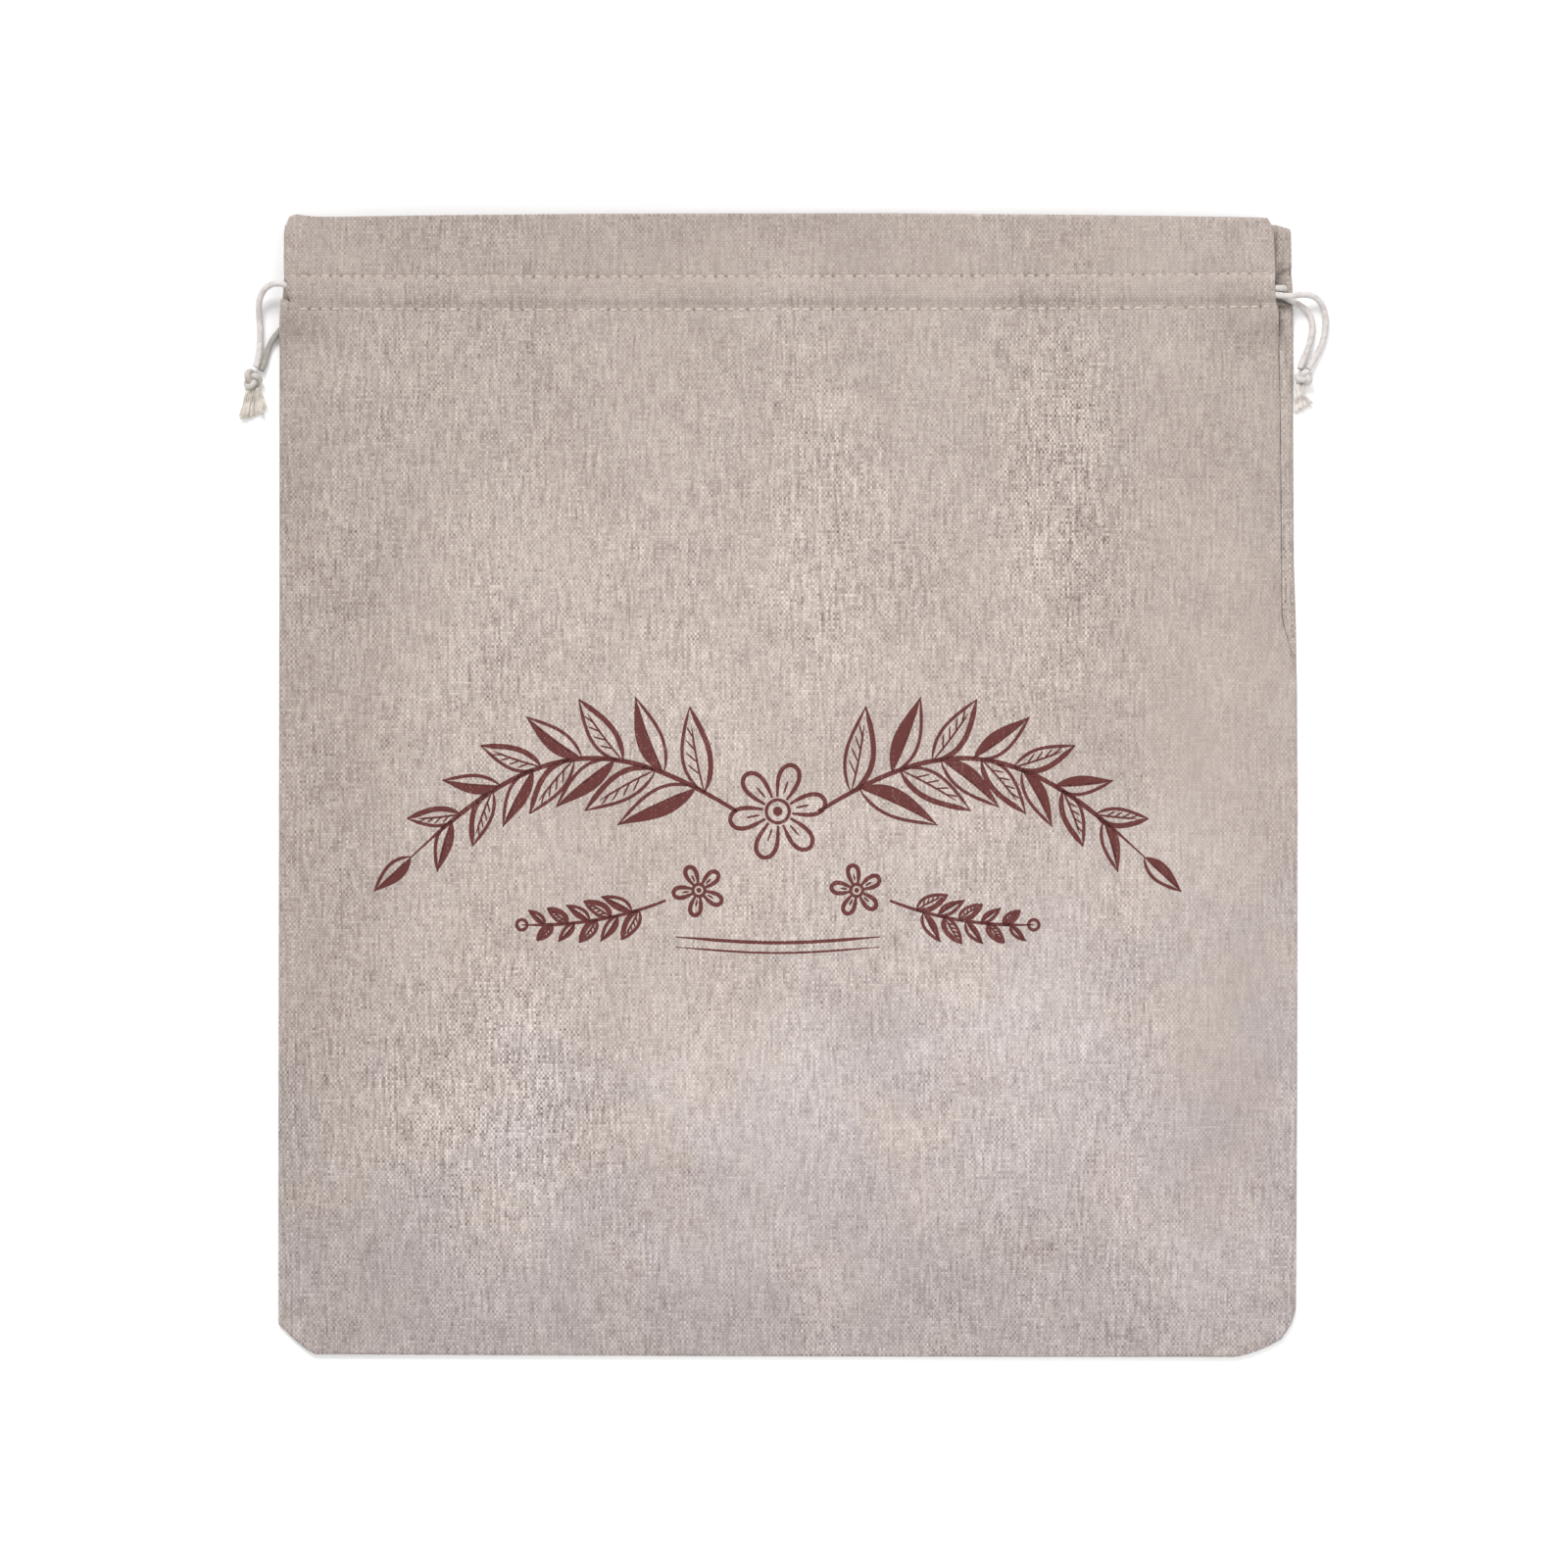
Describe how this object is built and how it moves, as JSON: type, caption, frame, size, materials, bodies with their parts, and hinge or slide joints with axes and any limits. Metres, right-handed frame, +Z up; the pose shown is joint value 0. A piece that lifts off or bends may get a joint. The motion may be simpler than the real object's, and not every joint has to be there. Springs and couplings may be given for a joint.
{
  "type": "linen drawstring bread bag",
  "caption": "Flat-lying linen drawstring bag for loaves, with stitched channels below its heading and knotted cords with frayed ends at both sides.",
  "frame": {"origin": "centre of the cloth's footprint, on the surface that the bag lies on", "axes": "+X across the bag to the right of its printed face, +Y along the bag towards its mouth, +Z up out of the printed face"},
  "size_m": [0.4303, 0.45, 0.0157],
  "materials": {
    "linen_front": "plain-woven greyish beige linen with darker slubs and a dark red-brown line print",
    "linen_back": "plain-woven greyish beige linen",
    "cotton_cord": "soft off-white braided cotton cord",
    "cotton_yarn": "frayed cream cotton yarn"
  },
  "bodies": {
    "root": {"front_panel": "linen_front", "back_panel": "linen_back", "left_drawstring_run": "cotton_cord", "right_drawstring_run": "cotton_cord", "left_front_strand": "cotton_cord", "left_back_strand": "cotton_cord", "right_front_strand": "cotton_cord", "right_back_strand": "cotton_cord", "left_knot": "cotton_cord", "right_knot": "cotton_cord", "left_cord_ends": "cotton_yarn", "right_cord_ends": "cotton_yarn"}
  },
  "joints": []
}
